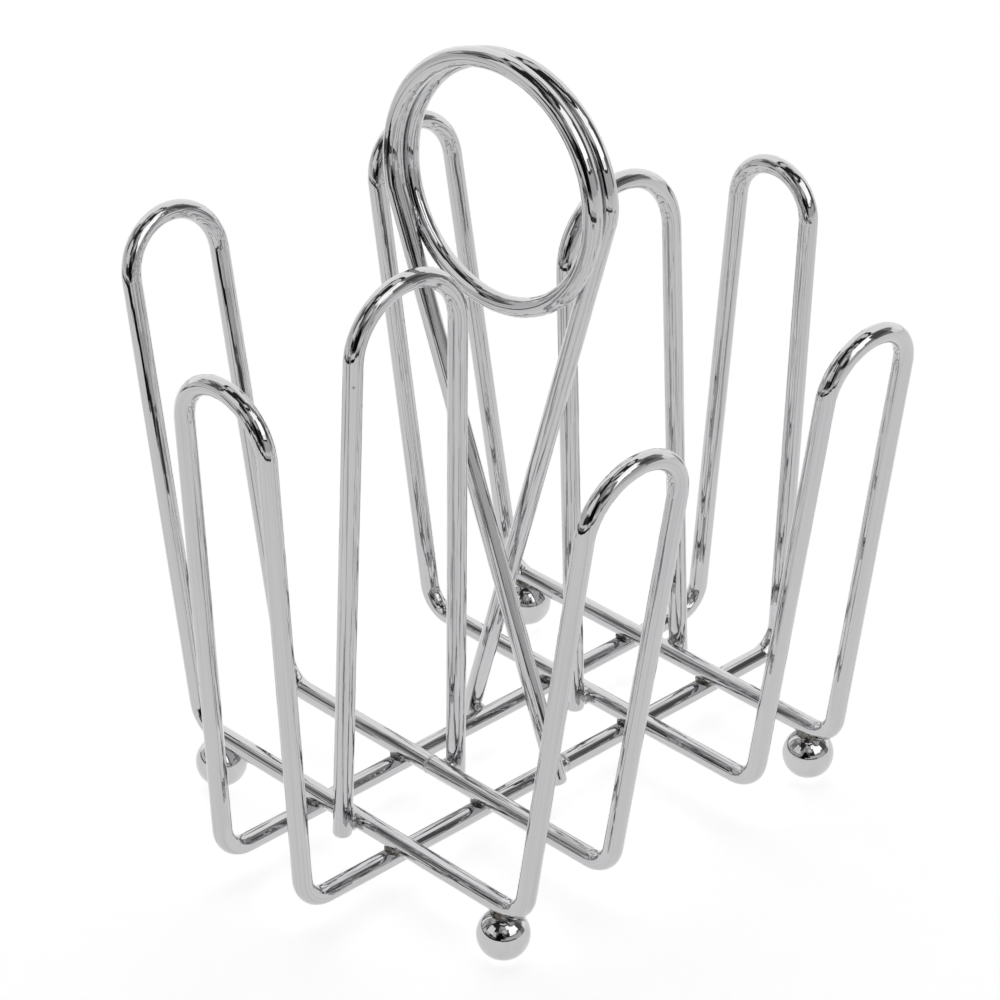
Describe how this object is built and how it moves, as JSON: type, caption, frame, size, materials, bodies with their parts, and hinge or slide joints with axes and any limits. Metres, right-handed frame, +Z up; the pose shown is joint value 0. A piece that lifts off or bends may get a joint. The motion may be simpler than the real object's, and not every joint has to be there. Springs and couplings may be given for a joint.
{
  "type": "napkin dispenser",
  "caption": "Open wire napkin holder: round-topped fingers stand around two pockets on a crossed base with ball feet, and a looped ring handle rises from the middle.",
  "frame": {"origin": "on the table under the middle of the holder", "axes": "+Z up, X along the side frames' bars, Y along the cross frame's bars"},
  "size_m": [0.1705, 0.1907, 0.2044],
  "materials": {
    "chrome_wire": "bright chrome plate on drawn steel wire",
    "chrome_ball": "bright chrome plate on a steel ball",
    "weld_metal": "dull plate over rough weld metal"
  },
  "bodies": {
    "root": {"butt_weld_1": "weld_metal", "butt_weld_2": "weld_metal", "butt_weld_3": "weld_metal", "cross_frame": "chrome_wire", "crossing_weld_far_left_back": "weld_metal", "crossing_weld_far_left_front": "weld_metal", "crossing_weld_far_right_back": "weld_metal", "crossing_weld_far_right_front": "weld_metal", "crossing_weld_near_left_back": "weld_metal", "crossing_weld_near_left_front": "weld_metal", "crossing_weld_near_right_back": "weld_metal", "crossing_weld_near_right_front": "weld_metal", "finger_weld_far_back": "weld_metal", "finger_weld_far_front": "weld_metal", "finger_weld_near_back": "weld_metal", "finger_weld_near_front": "weld_metal", "foot_far_left": "chrome_ball", "foot_far_right": "chrome_ball", "foot_near_left": "chrome_ball", "foot_near_right": "chrome_ball", "foot_weld_far_left": "weld_metal", "foot_weld_far_right": "weld_metal", "foot_weld_near_left": "weld_metal", "foot_weld_near_right": "weld_metal", "handle_weld_left": "weld_metal", "handle_weld_right": "weld_metal", "inner_finger_far": "chrome_wire", "inner_finger_near": "chrome_wire", "ring_handle": "chrome_wire", "side_frame_far": "chrome_wire", "side_frame_near": "chrome_wire"}
  },
  "joints": []
}
